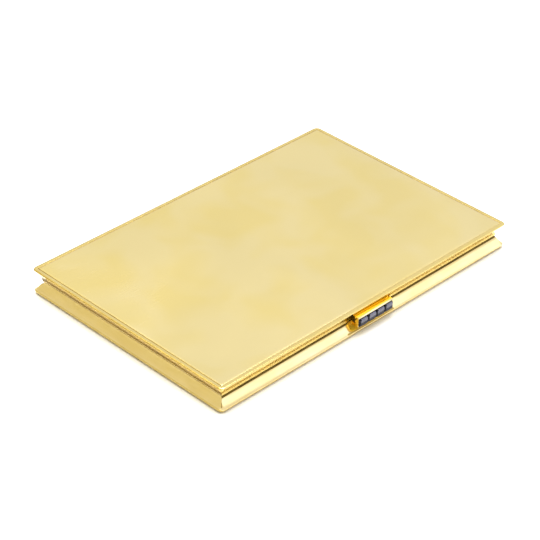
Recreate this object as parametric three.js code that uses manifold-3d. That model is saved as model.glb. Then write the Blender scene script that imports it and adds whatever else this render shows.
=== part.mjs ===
// Slim hinged pocket case (cigarette case) in polished yellow metal, with coved sides
// and a push thumbpiece set with four dark blue stones.
//
// Frame, in millimetres: +X along the long side, the thumbpiece is on the -Y side, the
// hinge is on the +Y side, +Z is up, and the origin is the middle of the underside.
//
// Cross-sections are drawn as [v, z]: v is the distance in from the outermost plane of
// a side, z is the height above the table.

import * as THREE from 'three';
import { mergeVertices } from 'three/addons/utils/BufferGeometryUtils.js';
import Module from 'manifold-3d';

const wasm = await Module();
wasm.setup();

// ---------------------------------------------------------------- driving dimensions
const L = 127.0;            // length, outermost edge to outermost edge
const W = 85.0;             // width
const H = 9.05;             // height of the closed case
const R_PLAN = 1.7;         // radius of the four corners, seen from above

const SHEET = 0.70;         // thickness of the top and bottom plates
const REBATE = 1.46;        // width of the frame's rim around each plate
const FIT = 0.04;           // joint gap between a plate and its frame
const MITRE = 0.012;        // half of the gap between two mitred strips

const WAIST = 2.46;         // how far the waist lies in from the outer edge
const INNER = 3.30;         // inner face of the front, left and right walls
const INNER_BACK = 3.90;    // inner face of the two walls that carry the hinge
const BASE_TOP = 4.10;      // top of the base's walls
const LID_BOTTOM = 4.35;    // bottom of the lid's walls
const FOOT_R = 1.15;        // radius of the bottom edge
const BASE_SAG = 0.26;      // hollow of the base's cove
const LIP_V = 2.40;         // upright lip at the bottom of the lid's cove
const LIP_TOP = 5.10;
const LID_EDGE = 8.72;      // height at which the lid's cove meets its rim
const LID_SAG = 0.12;       // hollow of the lid's cove

const AXIS_V = 1.90;        // hinge axis, in from the back edge
const AXIS_Z = 4.22;
const KNUCKLE_R = 1.00;
const KNUCKLE_BORE = 0.55;
const PIN_R = 0.50;
const SWEEP_R = 1.16;       // groove around the other leaf's knuckles
const SEAT_R = 1.02;        // groove around a leaf's own knuckles
const BARREL_HALF = 60.4;   // half of the hinge's length
const GROOVE_HALF = 61.4;
const KNUCKLES = 7;
const KNUCKLE_GAP = 0.12;

const BEZEL_V = 3.40;       // outer face of the bezel that stands up inside the lid
const BEZEL_T = 0.60;
const BEZEL_TOP = 5.40;

const CATCH_X = 0.85;       // middle of the thumbpiece along the front
const NOTCH_HALF = 9.45;    // half length of the notch in the front walls
const NOTCH_DEPTH = 3.00;
const NOTCH_FLOOR = 1.60;
const NOTCH_ROOF = 7.00;
const NOTCH_R_LOW = 0.90;   // radii of the notch's corners
const NOTCH_R_TOP = 1.80;
const LEDGE_V = 1.50;       // front of the lid's ledge over the thumb bar
const LEDGE_Z = 6.42;
const BAR_HALF = 7.70;      // thumb bar
const BAR_FRONT = -0.62;    // it stands in front of the case
const BAR_BACK = 2.10;
const BAR_LOW = 2.80;
const BAR_TOP = 6.35;
const BAR_CHAMFER = 0.36;   // along its top front edge
const STONES = 4;
const STONE_PITCH = 3.74;
const STONE_LOW = 2.98;
const STONE_TOP = 5.95;
const STONE_CROWN = -1.15;  // how far the stones stand in front of the case
const STONE_SEAT = 0.25;    // depth of the channel that holds them
const TRAVEL = 0.80;        // push of the thumbpiece

const BLADE_HALF = 2.50;    // flat catch blade behind the thumb bar
const BLADE_Z = [3.45, 4.00];
const UPRIGHT_V = [4.50, 5.10];
const NOSE_V = 4.00;
const NOSE_Z = [6.90, 7.50];
const KEEPER_TIP = 3.85;
const KEEPER_Z = [6.20, 6.80];
const COVER_HALF = 6.60;    // cover over the catch spring
const COVER_BACK = 8.30;
const COVER_TOP = 4.90;
const COVER_T = 0.45;
const EAR = 3.0;            // screw ears of the cover
const SCREW_R = 0.50;

// ---------------------------------------------------------------- colours
const gold = 0xe6cf86;
const satinGold = 0xdcc27a;
const steel = 0xb9bcc0;
const sapphire = 0x161a33;

// ---------------------------------------------------------------- helpers
const { PI, cos, sin, sqrt, asin, atan2, hypot } = Math;

function toSolid(geometry) {
  const g = geometry.clone();
  g.deleteAttribute('normal');
  g.deleteAttribute('uv');
  const m = mergeVertices(g, 1e-5);
  return new wasm.Manifold(new wasm.Mesh({
    numProp: 3,
    vertProperties: new Float32Array(m.attributes.position.array),
    triVerts: new Uint32Array(m.index.array),
  }));
}

function toGeometry(solid) {
  const mesh = solid.getMesh();
  const g = new THREE.BufferGeometry();
  const n = mesh.numProp;
  const p = new Float32Array((mesh.vertProperties.length / n) * 3);
  for (let i = 0; i < p.length / 3; i++) {
    p[3 * i] = mesh.vertProperties[n * i];
    p[3 * i + 1] = mesh.vertProperties[n * i + 1];
    p[3 * i + 2] = mesh.vertProperties[n * i + 2];
  }
  g.setAttribute('position', new THREE.BufferAttribute(p, 3));
  g.setIndex(new THREE.BufferAttribute(new Uint32Array(mesh.triVerts), 1));
  g.computeVertexNormals();
  return g;
}

const cut = (geometry, ...tools) => toGeometry(tools.reduce((s, t) => s.subtract(toSolid(t)), toSolid(geometry)));
const keep = (geometry, tool) => toGeometry(toSolid(geometry).intersect(toSolid(tool)));
const join = (...geometries) => toGeometry(geometries.map(toSolid).reduce((a, b) => a.add(b)));

// Points of an arc from a to b that bows by sag to the left of the direction a -> b.
function arc(a, b, sag, n) {
  const dx = b[0] - a[0], dz = b[1] - a[1], c = hypot(dx, dz);
  const r = (c * c / 4 + sag * sag) / (2 * sag);
  const half = asin(c / 2 / r);
  const nx = -dz / c, nz = dx / c;
  const mx = (a[0] + b[0]) / 2 + nx * (sag - r), mz = (a[1] + b[1]) / 2 + nz * (sag - r);
  const pts = [];
  for (let i = 0; i <= n; i++) {
    const t = -half + 2 * half * i / n;
    pts.push([mx + nx * r * cos(t) + (dx / c) * r * sin(t), mz + nz * r * cos(t) + (dz / c) * r * sin(t)]);
  }
  pts[0] = a; pts[n] = b;
  return pts;
}

// A strip of the given section along the front, its ends cut at 45 degrees.
// halfLong is half of the side's length, halfAcross is the distance of the side from the middle.
function strip(section, halfLong, halfAcross, mitred = true) {
  const shape = new THREE.Shape(section.map(([v, z]) => new THREE.Vector2(v, z)));
  const g = new THREE.ExtrudeGeometry(shape, { depth: 2, steps: 1, bevelEnabled: false });
  const p = g.attributes.position;
  for (let i = 0; i < p.count; i++) {
    const v = p.getX(i), z = p.getY(i), t = p.getZ(i) - 1;
    const reach = mitred ? halfLong - v - MITRE : halfLong;
    p.setXYZ(i, t * reach, -halfAcross + v, z);
  }
  return g;
}

const turned = (g, quarter) => g.clone().rotateZ(quarter * PI / 2);

function box(x0, x1, y0, y1, z0, z1) {
  return new THREE.BoxGeometry(x1 - x0, y1 - y0, z1 - z0)
    .translate((x0 + x1) / 2, (y0 + y1) / 2, (z0 + z1) / 2);
}

// Box given by v instead of y, measured in from the front edge, and x from the catch.
const catchBox = (x0, x1, v0, v1, z0, z1) =>
  box(CATCH_X + x0, CATCH_X + x1, -W / 2 + v0, -W / 2 + v1, z0, z1);

// Upright prism with rounded corners, centred on the origin in plan.
function roundedPrism(length, width, radius, z0, z1, segments = 6) {
  const a = length / 2, b = width / 2, s = new THREE.Shape();
  s.moveTo(-a + radius, -b);
  s.lineTo(a - radius, -b);
  s.absarc(a - radius, -b + radius, radius, -PI / 2, 0);
  s.lineTo(a, b - radius);
  s.absarc(a - radius, b - radius, radius, 0, PI / 2);
  s.lineTo(-a + radius, b);
  s.absarc(-a + radius, b - radius, radius, PI / 2, PI);
  s.lineTo(-a, -b + radius);
  s.absarc(-a + radius, -b + radius, radius, PI, 1.5 * PI);
  return new THREE.ExtrudeGeometry(s, { depth: z1 - z0, bevelEnabled: false, curveSegments: segments })
    .translate(0, 0, z0);
}

// Solid round bar along X.
function roundBar(radius, x0, x1, segments = 24) {
  return new THREE.CylinderGeometry(radius, radius, x1 - x0, segments)
    .rotateZ(PI / 2).translate((x0 + x1) / 2, 0, 0);
}

const atAxis = (g) => g.translate(0, W / 2 - AXIS_V, AXIS_Z);

const root = new THREE.Group();
const baseGroup = new THREE.Group();
const lidGroup = new THREE.Group();
const catchGroup = new THREE.Group();
root.add(baseGroup, lidGroup, catchGroup);

function add(group, name, geometry, color, roughness, metalness) {
  const mesh = new THREE.Mesh(geometry, new THREE.MeshStandardMaterial({ color, roughness, metalness }));
  mesh.name = name;
  group.add(mesh);
  return mesh;
}
const addGold = (group, name, g) => add(group, name, g, gold, 0.16, 1);
const addSatin = (group, name, g) => add(group, name, g, satinGold, 0.34, 1);

// ---------------------------------------------------------------- wall sections
const footArc = [];
for (let i = 0; i <= 5; i++) {
  const t = (i / 5) * PI / 2;
  footArc.push([FOOT_R - FOOT_R * sin(t), FOOT_R - FOOT_R * cos(t)]);
}

function baseSection(inner) {
  return [
    ...footArc,
    ...arc([0, FOOT_R + 0.08], [WAIST, BASE_TOP - 0.05], -BASE_SAG, 9),
    [WAIST + 0.05, BASE_TOP],
    [inner, BASE_TOP],
    [inner, SHEET + FIT],
    [REBATE, SHEET + FIT],
    [REBATE, 0],
  ];
}

function lidSection(inner) {
  return [
    [LIP_V + 0.04, LID_BOTTOM],
    [LIP_V, LID_BOTTOM + 0.04],
    ...arc([LIP_V, LIP_TOP], [0, LID_EDGE], LID_SAG * -1, 7),
    [0.05, LID_EDGE + 0.19],
    [0.20, H - 0.05],
    [REBATE, H],
    [REBATE, H - SHEET - FIT],
    [inner, H - SHEET - FIT],
    [inner, LID_BOTTOM],
  ];
}

const planCorners = roundedPrism(L, W, R_PLAN, -1, H + 1);

// Grooves for the hinge, one set for each leaf.
const knuckleLength = (2 * BARREL_HALF) / KNUCKLES;
const knuckleSpan = (i) => [
  -BARREL_HALF + i * knuckleLength + KNUCKLE_GAP / 2,
  -BARREL_HALF + (i + 1) * knuckleLength - KNUCKLE_GAP / 2,
];
const isBaseKnuckle = (i) => i % 2 === 0;

function grooves(forBase) {
  const tools = [];
  for (let i = 0; i < KNUCKLES; i++) {
    const own = isBaseKnuckle(i) === forBase;
    let [x0, x1] = knuckleSpan(i);
    const grow = own ? KNUCKLE_GAP / 2 + 0.02 : KNUCKLE_GAP / 2 + 0.14;
    x0 -= grow; x1 += grow;
    if (i === 0) x0 = -GROOVE_HALF - 1;
    if (i === KNUCKLES - 1) x1 = GROOVE_HALF + 1;
    tools.push(atAxis(roundBar(own ? SEAT_R : SWEEP_R, x0, x1, 32)));
  }
  return tools;
}
const baseGrooves = grooves(true);
const lidGrooves = grooves(false);

// Notch in the front walls: a pocket with rounded corners, open to the front.
function notchTool(depth = NOTCH_DEPTH) {
  const a = NOTCH_HALF, r = NOTCH_R_LOW, q = NOTCH_R_TOP, s = new THREE.Shape();
  s.moveTo(-a + r, NOTCH_FLOOR);
  s.lineTo(a - r, NOTCH_FLOOR);
  s.absarc(a - r, NOTCH_FLOOR + r, r, -PI / 2, 0);
  s.lineTo(a, NOTCH_ROOF - q);
  s.absarc(a - q, NOTCH_ROOF - q, q, 0, PI / 2);
  s.lineTo(-a + q, NOTCH_ROOF);
  s.absarc(-a + q, NOTCH_ROOF - q, q, PI / 2, PI);
  s.lineTo(-a, NOTCH_FLOOR + r);
  s.absarc(-a + r, NOTCH_FLOOR + r, r, PI, 1.5 * PI);
  const g = new THREE.ExtrudeGeometry(s, { depth: depth + 2, bevelEnabled: false, curveSegments: 5 });
  // Drawn in x and z, pushed in from the front.
  g.rotateX(PI / 2);
  return g.translate(CATCH_X, -W / 2 + depth, 0);
}

// The lid's share of the notch is shallower right above the thumb bar, so that a ledge covers the bar's back.
function lidNotchTools() {
  const reach = BAR_HALF + 0.10;
  return [
    notchTool(LEDGE_V),
    keep(notchTool(), catchBox(-20, 20, -3, 10, 0, LEDGE_Z)),
    keep(notchTool(), catchBox(-20, -reach, -3, 10, 0, H)),
    keep(notchTool(), catchBox(reach, 20, -3, 10, 0, H)),
  ];
}

// ---------------------------------------------------------------- base
addGold(baseGroup, 'base_plate', cut(
  roundedPrism(L - 2 * (REBATE + FIT), W - 2 * (REBATE + FIT), 0.5, 0, SHEET, 3),
  ...[-1, 1].map((s) => new THREE.CylinderGeometry(SCREW_R + 0.06, SCREW_R + 0.06, 1, 16).rotateX(PI / 2)
    .translate(CATCH_X + s * (COVER_HALF + EAR / 2), -W / 2 + 6.2, 0.75)),
));

const bladeSlot = catchBox(-BLADE_HALF - 0.15, BLADE_HALF + 0.15, 2, 4.3, BLADE_Z[0] - 0.15, 6);

addGold(baseGroup, 'base_wall_front', cut(
  keep(strip(baseSection(INNER), L / 2, W / 2), planCorners), notchTool(), bladeSlot));
addGold(baseGroup, 'base_wall_back', cut(
  keep(turned(strip(baseSection(INNER_BACK), L / 2, W / 2), 2), planCorners), ...baseGrooves));
addGold(baseGroup, 'base_wall_left', cut(
  keep(turned(strip(baseSection(INNER), W / 2, L / 2), -1), planCorners), ...baseGrooves));
addGold(baseGroup, 'base_wall_right', cut(
  keep(turned(strip(baseSection(INNER), W / 2, L / 2), 1), planCorners), ...baseGrooves));

const bezelSection = [
  [BEZEL_V, SHEET + FIT],
  [BEZEL_V + BEZEL_T, SHEET + FIT],
  [BEZEL_V + BEZEL_T, BEZEL_TOP - 0.12],
  [BEZEL_V + BEZEL_T - 0.12, BEZEL_TOP],
  [BEZEL_V + 0.18, BEZEL_TOP],
  [BEZEL_V, BEZEL_TOP - 0.35],
];
addSatin(baseGroup, 'bezel_front', cut(strip(bezelSection, L / 2, W / 2), bladeSlot));
const bezelBackCut = box(-L, L, W / 2 - INNER_BACK - 0.10, W, -1, H);
addSatin(baseGroup, 'bezel_left', cut(turned(strip(bezelSection, W / 2, L / 2), -1), bezelBackCut));
addSatin(baseGroup, 'bezel_right', cut(turned(strip(bezelSection, W / 2, L / 2), 1), bezelBackCut));

// ---------------------------------------------------------------- lid
addGold(lidGroup, 'lid_plate',
  roundedPrism(L - 2 * (REBATE + FIT), W - 2 * (REBATE + FIT), 0.5, H - SHEET, H, 3));
addGold(lidGroup, 'lid_wall_front', cut(
  keep(strip(lidSection(INNER), L / 2, W / 2), planCorners), ...lidNotchTools()));
addGold(lidGroup, 'lid_wall_back', cut(
  keep(turned(strip(lidSection(INNER_BACK), L / 2, W / 2), 2), planCorners), ...lidGrooves));
addGold(lidGroup, 'lid_wall_left', cut(
  keep(turned(strip(lidSection(INNER), W / 2, L / 2), -1), planCorners), ...lidGrooves));
addGold(lidGroup, 'lid_wall_right', cut(
  keep(turned(strip(lidSection(INNER), W / 2, L / 2), 1), planCorners), ...lidGrooves));

// ---------------------------------------------------------------- hinge
function knuckle(i) {
  const [x0, x1] = knuckleSpan(i), c = 0.08;
  const profile = [
    [KNUCKLE_BORE, x0], [KNUCKLE_R - c, x0], [KNUCKLE_R, x0 + c],
    [KNUCKLE_R, x1 - c], [KNUCKLE_R - c, x1], [KNUCKLE_BORE, x1], [KNUCKLE_BORE, x0],
  ].map(([r, x]) => new THREE.Vector2(r, x));
  return atAxis(new THREE.LatheGeometry(profile, 28).rotateZ(-PI / 2));
}
let nBase = 0, nLid = 0;
for (let i = 0; i < KNUCKLES; i++) {
  if (isBaseKnuckle(i)) addGold(baseGroup, `base_knuckle_${++nBase}`, knuckle(i));
  else addGold(lidGroup, `lid_knuckle_${++nLid}`, knuckle(i));
}
{
  const e = BARREL_HALF - 0.1;
  const profile = [[0, -e], [PIN_R - 0.12, -e], [PIN_R, -e + 0.12], [PIN_R, e - 0.12], [PIN_R - 0.12, e], [0, e]]
    .map(([r, x]) => new THREE.Vector2(r, x));
  add(baseGroup, 'hinge_pin', atAxis(new THREE.LatheGeometry(profile, 24).rotateZ(-PI / 2)), steel, 0.35, 1);
}

// ---------------------------------------------------------------- catch, in the base
// Cover: an upturned box behind the bezel, open below and to the front, with two screw ears
// and a slot in its top for the catch blade.
{
  const back = COVER_BACK, front = BEZEL_V + BEZEL_T + 0.05, t = COVER_T, zb = SHEET + 0.03;
  const shell = cut(
    catchBox(-COVER_HALF, COVER_HALF, front, back, zb, COVER_TOP),
    catchBox(-COVER_HALF + t, COVER_HALF - t, front - 1, back - t, zb - 1, COVER_TOP - t),
    catchBox(-BLADE_HALF - 0.2, BLADE_HALF + 0.2, front - 1, UPRIGHT_V[1] + TRAVEL + 0.25, COVER_TOP - 1, COVER_TOP + 1));
  const ears = [-1, 1].map((s) => {
    const x0 = COVER_HALF - 0.2, x1 = COVER_HALF + EAR;
    const ear = s > 0 ? catchBox(x0, x1, 4.9, 7.5, zb, zb + 0.5) : catchBox(-x1, -x0, 4.9, 7.5, zb, zb + 0.5);
    return cut(ear, new THREE.CylinderGeometry(SCREW_R + 0.08, SCREW_R + 0.08, 3, 20).rotateX(PI / 2)
      .translate(CATCH_X + s * (COVER_HALF + EAR / 2), -W / 2 + 6.2, 1));
  });
  addSatin(baseGroup, 'catch_cover', join(shell, ...ears));
}
// Screws of the cover.
['left', 'right'].forEach((side, i) => {
  const s = i ? 1 : -1, z = SHEET + 0.03 + 0.5 + 0.03;
  const profile = [[0, 0.32], [SCREW_R, 0.32], [SCREW_R, z], [0.98, z], [1.0, z + 0.25], [0.8, z + 0.42], [0.4, z + 0.5], [0, z + 0.52]]
    .map(([r, h]) => new THREE.Vector2(r, h));
  const body = new THREE.LatheGeometry(profile, 20).rotateX(PI / 2)
    .translate(CATCH_X + s * (COVER_HALF + EAR / 2), -W / 2 + 6.2, 0);
  const slot = new THREE.BoxGeometry(3, 0.26, 0.5).rotateZ(i ? 0.5 : -0.3)
    .translate(CATCH_X + s * (COVER_HALF + EAR / 2), -W / 2 + 6.2, z + 0.52);
  add(baseGroup, `cover_screw_${side}`, cut(body, slot), steel, 0.3, 1);
});
// Bowed leaf spring that pushes the catch blade back out.
{
  const half = 5.7, crown = UPRIGHT_V[1] + 0.06, foot = COVER_BACK - COVER_T - 0.12, t = 0.22, n = 14;
  const outer = [], inner = [];
  for (let i = 0; i <= n; i++) {
    const u = -1 + 2 * i / n, bow = 0.5 + 0.5 * cos(u * PI);
    outer.push(new THREE.Vector2(u * half, foot - t - (foot - t - crown) * bow));
    inner.push(new THREE.Vector2(u * half, foot - (foot - t - crown) * bow));
  }
  const s = new THREE.Shape([...outer, ...inner.reverse()]);
  add(baseGroup, 'return_spring',
    new THREE.ExtrudeGeometry(s, { depth: 1.3, bevelEnabled: false })
      .translate(CATCH_X, -W / 2, 1.5), steel, 0.3, 1);
}

// Keeper on the inside of the lid's front wall: a plate with a ledge under the catch nose.
{
  const v = INNER + 0.02, top = H - SHEET - FIT - 0.02;
  const section = [[v, 5.60], [v + 0.30, 5.60], [v + 0.30, KEEPER_Z[0]], [KEEPER_TIP, KEEPER_Z[0]],
    [KEEPER_TIP, KEEPER_Z[1] - 0.15], [KEEPER_TIP - 0.12, KEEPER_Z[1]], [v + 0.30, KEEPER_Z[1]], [v + 0.30, top], [v, top]];
  addSatin(lidGroup, 'keeper_plate', strip(section, 3.6, W / 2, false).translate(CATCH_X, 0, 0));
}

// ---------------------------------------------------------------- thumbpiece
// Bar with a channel along its front for the stones.
{
  const c = 0.14, d = BAR_CHAMFER;
  const section = [[BAR_FRONT, BAR_LOW + c], [BAR_FRONT + c, BAR_LOW], [BAR_BACK, BAR_LOW], [BAR_BACK, BAR_TOP],
    [BAR_FRONT + d, BAR_TOP], [BAR_FRONT, BAR_TOP - d],
    [BAR_FRONT, STONE_TOP + 0.02], [STONE_SEAT + 0.02, STONE_TOP + 0.02],
    [STONE_SEAT + 0.02, STONE_LOW - 0.02], [BAR_FRONT, STONE_LOW - 0.02]];
  const bar = strip(section, BAR_HALF, W / 2, false).translate(CATCH_X, 0, 0);
  const endH = 0.16;
  const ends = [-1, 1].map((s) => catchBox(s < 0 ? -BAR_HALF : BAR_HALF - endH, s < 0 ? -BAR_HALF + endH : BAR_HALF,
    BAR_FRONT + 0.1, BAR_BACK - 0.2, STONE_LOW - 0.1, STONE_TOP + 0.1));
  addGold(catchGroup, 'thumb_bar', join(bar, ...ends));
}
// Stones: step cut, with a flat table, two rows of bevels and a shallow pavilion in the channel.
for (let k = 0; k < STONES; k++) {
  const xm = CATCH_X + (k - (STONES - 1) / 2) * STONE_PITCH;
  const a = STONE_PITCH / 2 - 0.02, b = (STONE_TOP - STONE_LOW) / 2 - 0.02, zm = (STONE_TOP + STONE_LOW) / 2;
  const rings = [
    { v: STONE_CROWN, inset: 0.50, r: 0.20 },
    { v: STONE_CROWN + 0.18, inset: 0.22, r: 0.32 },
    { v: BAR_FRONT, inset: 0.0, r: 0.42 },
    { v: BAR_FRONT + 0.20, inset: 0.0, r: 0.42 },
    { v: STONE_SEAT - 0.05, inset: 0.50, r: 0.25 },
  ];
  const loops = rings.map(({ v, inset, r }) => {
    const pts = [], ax = a - inset, bz = b - inset;
    const corners = [[ax - r, -bz, 0], [ax, -bz + r, 0], [ax, bz - r, 0], [ax - r, bz, 0],
      [-ax + r, bz, 0], [-ax, bz - r, 0], [-ax, -bz + r, 0], [-ax + r, -bz, 0]];
    for (const [x, z] of corners) pts.push([xm + x, -W / 2 + v, zm + z]);
    return pts;
  });
  const pos = [], idx = [];
  for (const loop of loops) for (const p of loop) pos.push(...p);
  const m = 8, nR = loops.length;
  for (let i = 0; i + 1 < nR; i++) for (let j = 0; j < m; j++) {
    const q = i * m + j, w = i * m + (j + 1) % m, e = q + m, r = w + m;
    idx.push(q, e, w, w, e, r);
  }
  for (let j = 1; j + 1 < m; j++) idx.push(0, j, j + 1);
  const o = (nR - 1) * m;
  for (let j = 1; j + 1 < m; j++) idx.push(o, o + j + 1, o + j);
  const g = new THREE.BufferGeometry();
  g.setAttribute('position', new THREE.BufferAttribute(new Float32Array(pos), 3));
  g.setIndex(idx);
  g.computeVertexNormals();
  add(catchGroup, `stone_${k + 1}`, g, sapphire, 0.05, 0);
}
// Catch blade: flat stem from the bar, upright behind the bezel and nose over the keeper.
{
  const section = [
    [BAR_BACK + 0.02, BLADE_Z[0]], [UPRIGHT_V[0], BLADE_Z[0]], [UPRIGHT_V[0], 1.45], [UPRIGHT_V[1], 1.45],
    [UPRIGHT_V[1], NOSE_Z[1] - 0.1], [UPRIGHT_V[1] - 0.1, NOSE_Z[1]], [NOSE_V + 0.35, NOSE_Z[1]],
    [NOSE_V, NOSE_Z[0] + 0.22], [NOSE_V, NOSE_Z[0]], [UPRIGHT_V[0], NOSE_Z[0]], [UPRIGHT_V[0], BLADE_Z[1]],
    [BAR_BACK + 0.02, BLADE_Z[1]],
  ];
  add(catchGroup, 'catch_blade', strip(section, BLADE_HALF, W / 2, false).translate(CATCH_X, 0, 0), steel, 0.3, 1);
}

root.name = 'pocket_case';
export default root;
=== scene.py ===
import math
import random

import bmesh
import bpy
from mathutils import Matrix, Vector
from mathutils import noise as mnoise


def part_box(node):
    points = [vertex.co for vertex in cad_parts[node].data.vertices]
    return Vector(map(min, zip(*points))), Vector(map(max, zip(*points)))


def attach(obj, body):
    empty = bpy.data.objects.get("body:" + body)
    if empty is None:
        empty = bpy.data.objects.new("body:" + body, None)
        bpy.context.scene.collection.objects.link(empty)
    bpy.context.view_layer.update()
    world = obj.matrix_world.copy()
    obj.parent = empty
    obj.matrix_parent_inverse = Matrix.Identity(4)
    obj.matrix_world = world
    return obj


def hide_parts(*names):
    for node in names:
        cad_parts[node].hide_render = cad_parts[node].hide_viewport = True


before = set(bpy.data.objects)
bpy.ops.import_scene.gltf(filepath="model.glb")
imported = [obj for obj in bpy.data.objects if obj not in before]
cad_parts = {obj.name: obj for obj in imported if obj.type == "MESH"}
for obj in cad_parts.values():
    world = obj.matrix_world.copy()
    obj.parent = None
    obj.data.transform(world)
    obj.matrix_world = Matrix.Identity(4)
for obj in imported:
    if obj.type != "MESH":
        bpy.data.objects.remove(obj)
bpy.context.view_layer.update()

MM = 0.001
scene = bpy.context.scene
random.seed(7)

# ------------------------------------------------------------------ sizes, in mm, from the frame
lo_b, hi_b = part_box("base_wall_front")
lo_l, hi_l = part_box("base_wall_left")
L = 2 * abs(lo_l.x) / MM
W = 2 * abs(lo_b.y) / MM
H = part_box("lid_plate")[1].z / MM
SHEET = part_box("base_plate")[1].z / MM
REBATE = L / 2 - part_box("base_plate")[1].x / MM - 0.04
BASE_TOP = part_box("base_wall_front")[1].z / MM
LID_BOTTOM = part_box("lid_wall_front")[0].z / MM
INNER = W / 2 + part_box("base_wall_front")[1].y / MM
INNER_BACK = W / 2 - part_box("base_wall_back")[0].y / MM
AXIS_Y = (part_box("hinge_pin")[0].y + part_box("hinge_pin")[1].y) / 2 / MM
AXIS_Z = (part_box("hinge_pin")[0].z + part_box("hinge_pin")[1].z) / 2 / MM
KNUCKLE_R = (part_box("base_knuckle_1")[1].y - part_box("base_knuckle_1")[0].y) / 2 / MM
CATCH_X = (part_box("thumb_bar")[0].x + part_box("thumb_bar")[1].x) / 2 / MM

R_PLAN, FIT, MITRE = 1.7, 0.04, 0.012
WAIST, FOOT_R, BASE_SAG = 2.46, 1.15, 0.26
LIP_V, LIP_TOP, LID_EDGE, LID_SAG = 2.40, 5.10, 8.72, 0.12
SEAT_R, SWEEP_R = 1.02, 1.16
NOTCH_HALF, NOTCH_DEPTH, NOTCH_FLOOR, NOTCH_ROOF = 9.45, 3.00, 1.60, 7.00
NOTCH_R_LOW, NOTCH_R_TOP, LEDGE_V, LEDGE_Z = 0.90, 1.80, 1.50, 6.42
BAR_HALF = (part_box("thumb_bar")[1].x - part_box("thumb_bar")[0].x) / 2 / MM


# ------------------------------------------------------------------ materials
def new_mat(name):
    m = bpy.data.materials.new(name)
    m.use_nodes = True
    nt = m.node_tree
    nt.nodes.clear()
    out = nt.nodes.new("ShaderNodeOutputMaterial")
    bsdf = nt.nodes.new("ShaderNodeBsdfPrincipled")
    nt.links.new(bsdf.outputs[0], out.inputs[0])
    return m, nt, bsdf


class Net:
    """Small helper around a node tree."""

    def __init__(self, nt):
        self.nt = nt
        self.coord = nt.nodes.new("ShaderNodeTexCoord").outputs["Object"]

    def link(self, a, b):
        self.nt.links.new(a, b)

    def mapping(self, scale=(1, 1, 1), rot=(0, 0, 0), loc=(0, 0, 0)):
        n = self.nt.nodes.new("ShaderNodeMapping")
        n.inputs["Scale"].default_value = scale
        n.inputs["Rotation"].default_value = rot
        n.inputs["Location"].default_value = loc
        self.link(self.coord, n.inputs[0])
        return n.outputs[0]

    def noise(self, scale, detail=2.0, rough=0.5, vec=None, distortion=0.0):
        n = self.nt.nodes.new("ShaderNodeTexNoise")
        n.inputs["Scale"].default_value = scale
        n.inputs["Detail"].default_value = detail
        n.inputs["Roughness"].default_value = rough
        n.inputs["Distortion"].default_value = distortion
        self.link(vec if vec is not None else self.coord, n.inputs["Vector"])
        return n.outputs["Fac"]

    def ramp(self, fac, stops):
        n = self.nt.nodes.new("ShaderNodeValToRGB")
        el = n.color_ramp.elements
        while len(el) < len(stops):
            el.new(0.5)
        for e, (p, c) in zip(el, stops):
            e.position = p
            e.color = (*c, 1) if len(c) == 3 else c
        self.link(fac, n.inputs[0])
        return n.outputs[0]

    def span(self, fac, a, b, c, d, clamp=True):
        n = self.nt.nodes.new("ShaderNodeMapRange")
        n.clamp = clamp
        n.inputs["From Min"].default_value = a
        n.inputs["From Max"].default_value = b
        n.inputs["To Min"].default_value = c
        n.inputs["To Max"].default_value = d
        self.link(fac, n.inputs["Value"])
        return n.outputs[0]

    def math(self, op, a, b=None, clamp=False):
        n = self.nt.nodes.new("ShaderNodeMath")
        n.operation = op
        n.use_clamp = clamp
        for i, x in enumerate((a, b)):
            if x is None:
                continue
            if isinstance(x, (int, float)):
                n.inputs[i].default_value = x
            else:
                self.link(x, n.inputs[i])
        return n.outputs[0]

    def mix(self, fac, a, b, blend="MIX"):
        n = self.nt.nodes.new("ShaderNodeMix")
        n.data_type = "RGBA"
        n.blend_type = blend
        if isinstance(fac, (int, float)):
            n.inputs[0].default_value = fac
        else:
            self.link(fac, n.inputs[0])
        for i, x in ((6, a), (7, b)):
            if isinstance(x, tuple):
                n.inputs[i].default_value = (*x, 1)
            else:
                self.link(x, n.inputs[i])
        return n.outputs[2]

    def bump(self, height, strength, distance, prev=None):
        n = self.nt.nodes.new("ShaderNodeBump")
        n.inputs["Strength"].default_value = strength
        n.inputs["Distance"].default_value = distance
        self.link(height, n.inputs["Height"])
        if prev is not None:
            self.link(prev, n.inputs["Normal"])
        return n.outputs[0]

    def scratches(self, angle, scale, stretch, lo, hi):
        v = self.mapping(scale=(1.0, stretch, 1.0), rot=(0, 0, angle))
        f = self.noise(scale, 3.0, 0.6, v)
        return self.span(f, lo, hi, 0, 1)


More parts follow.
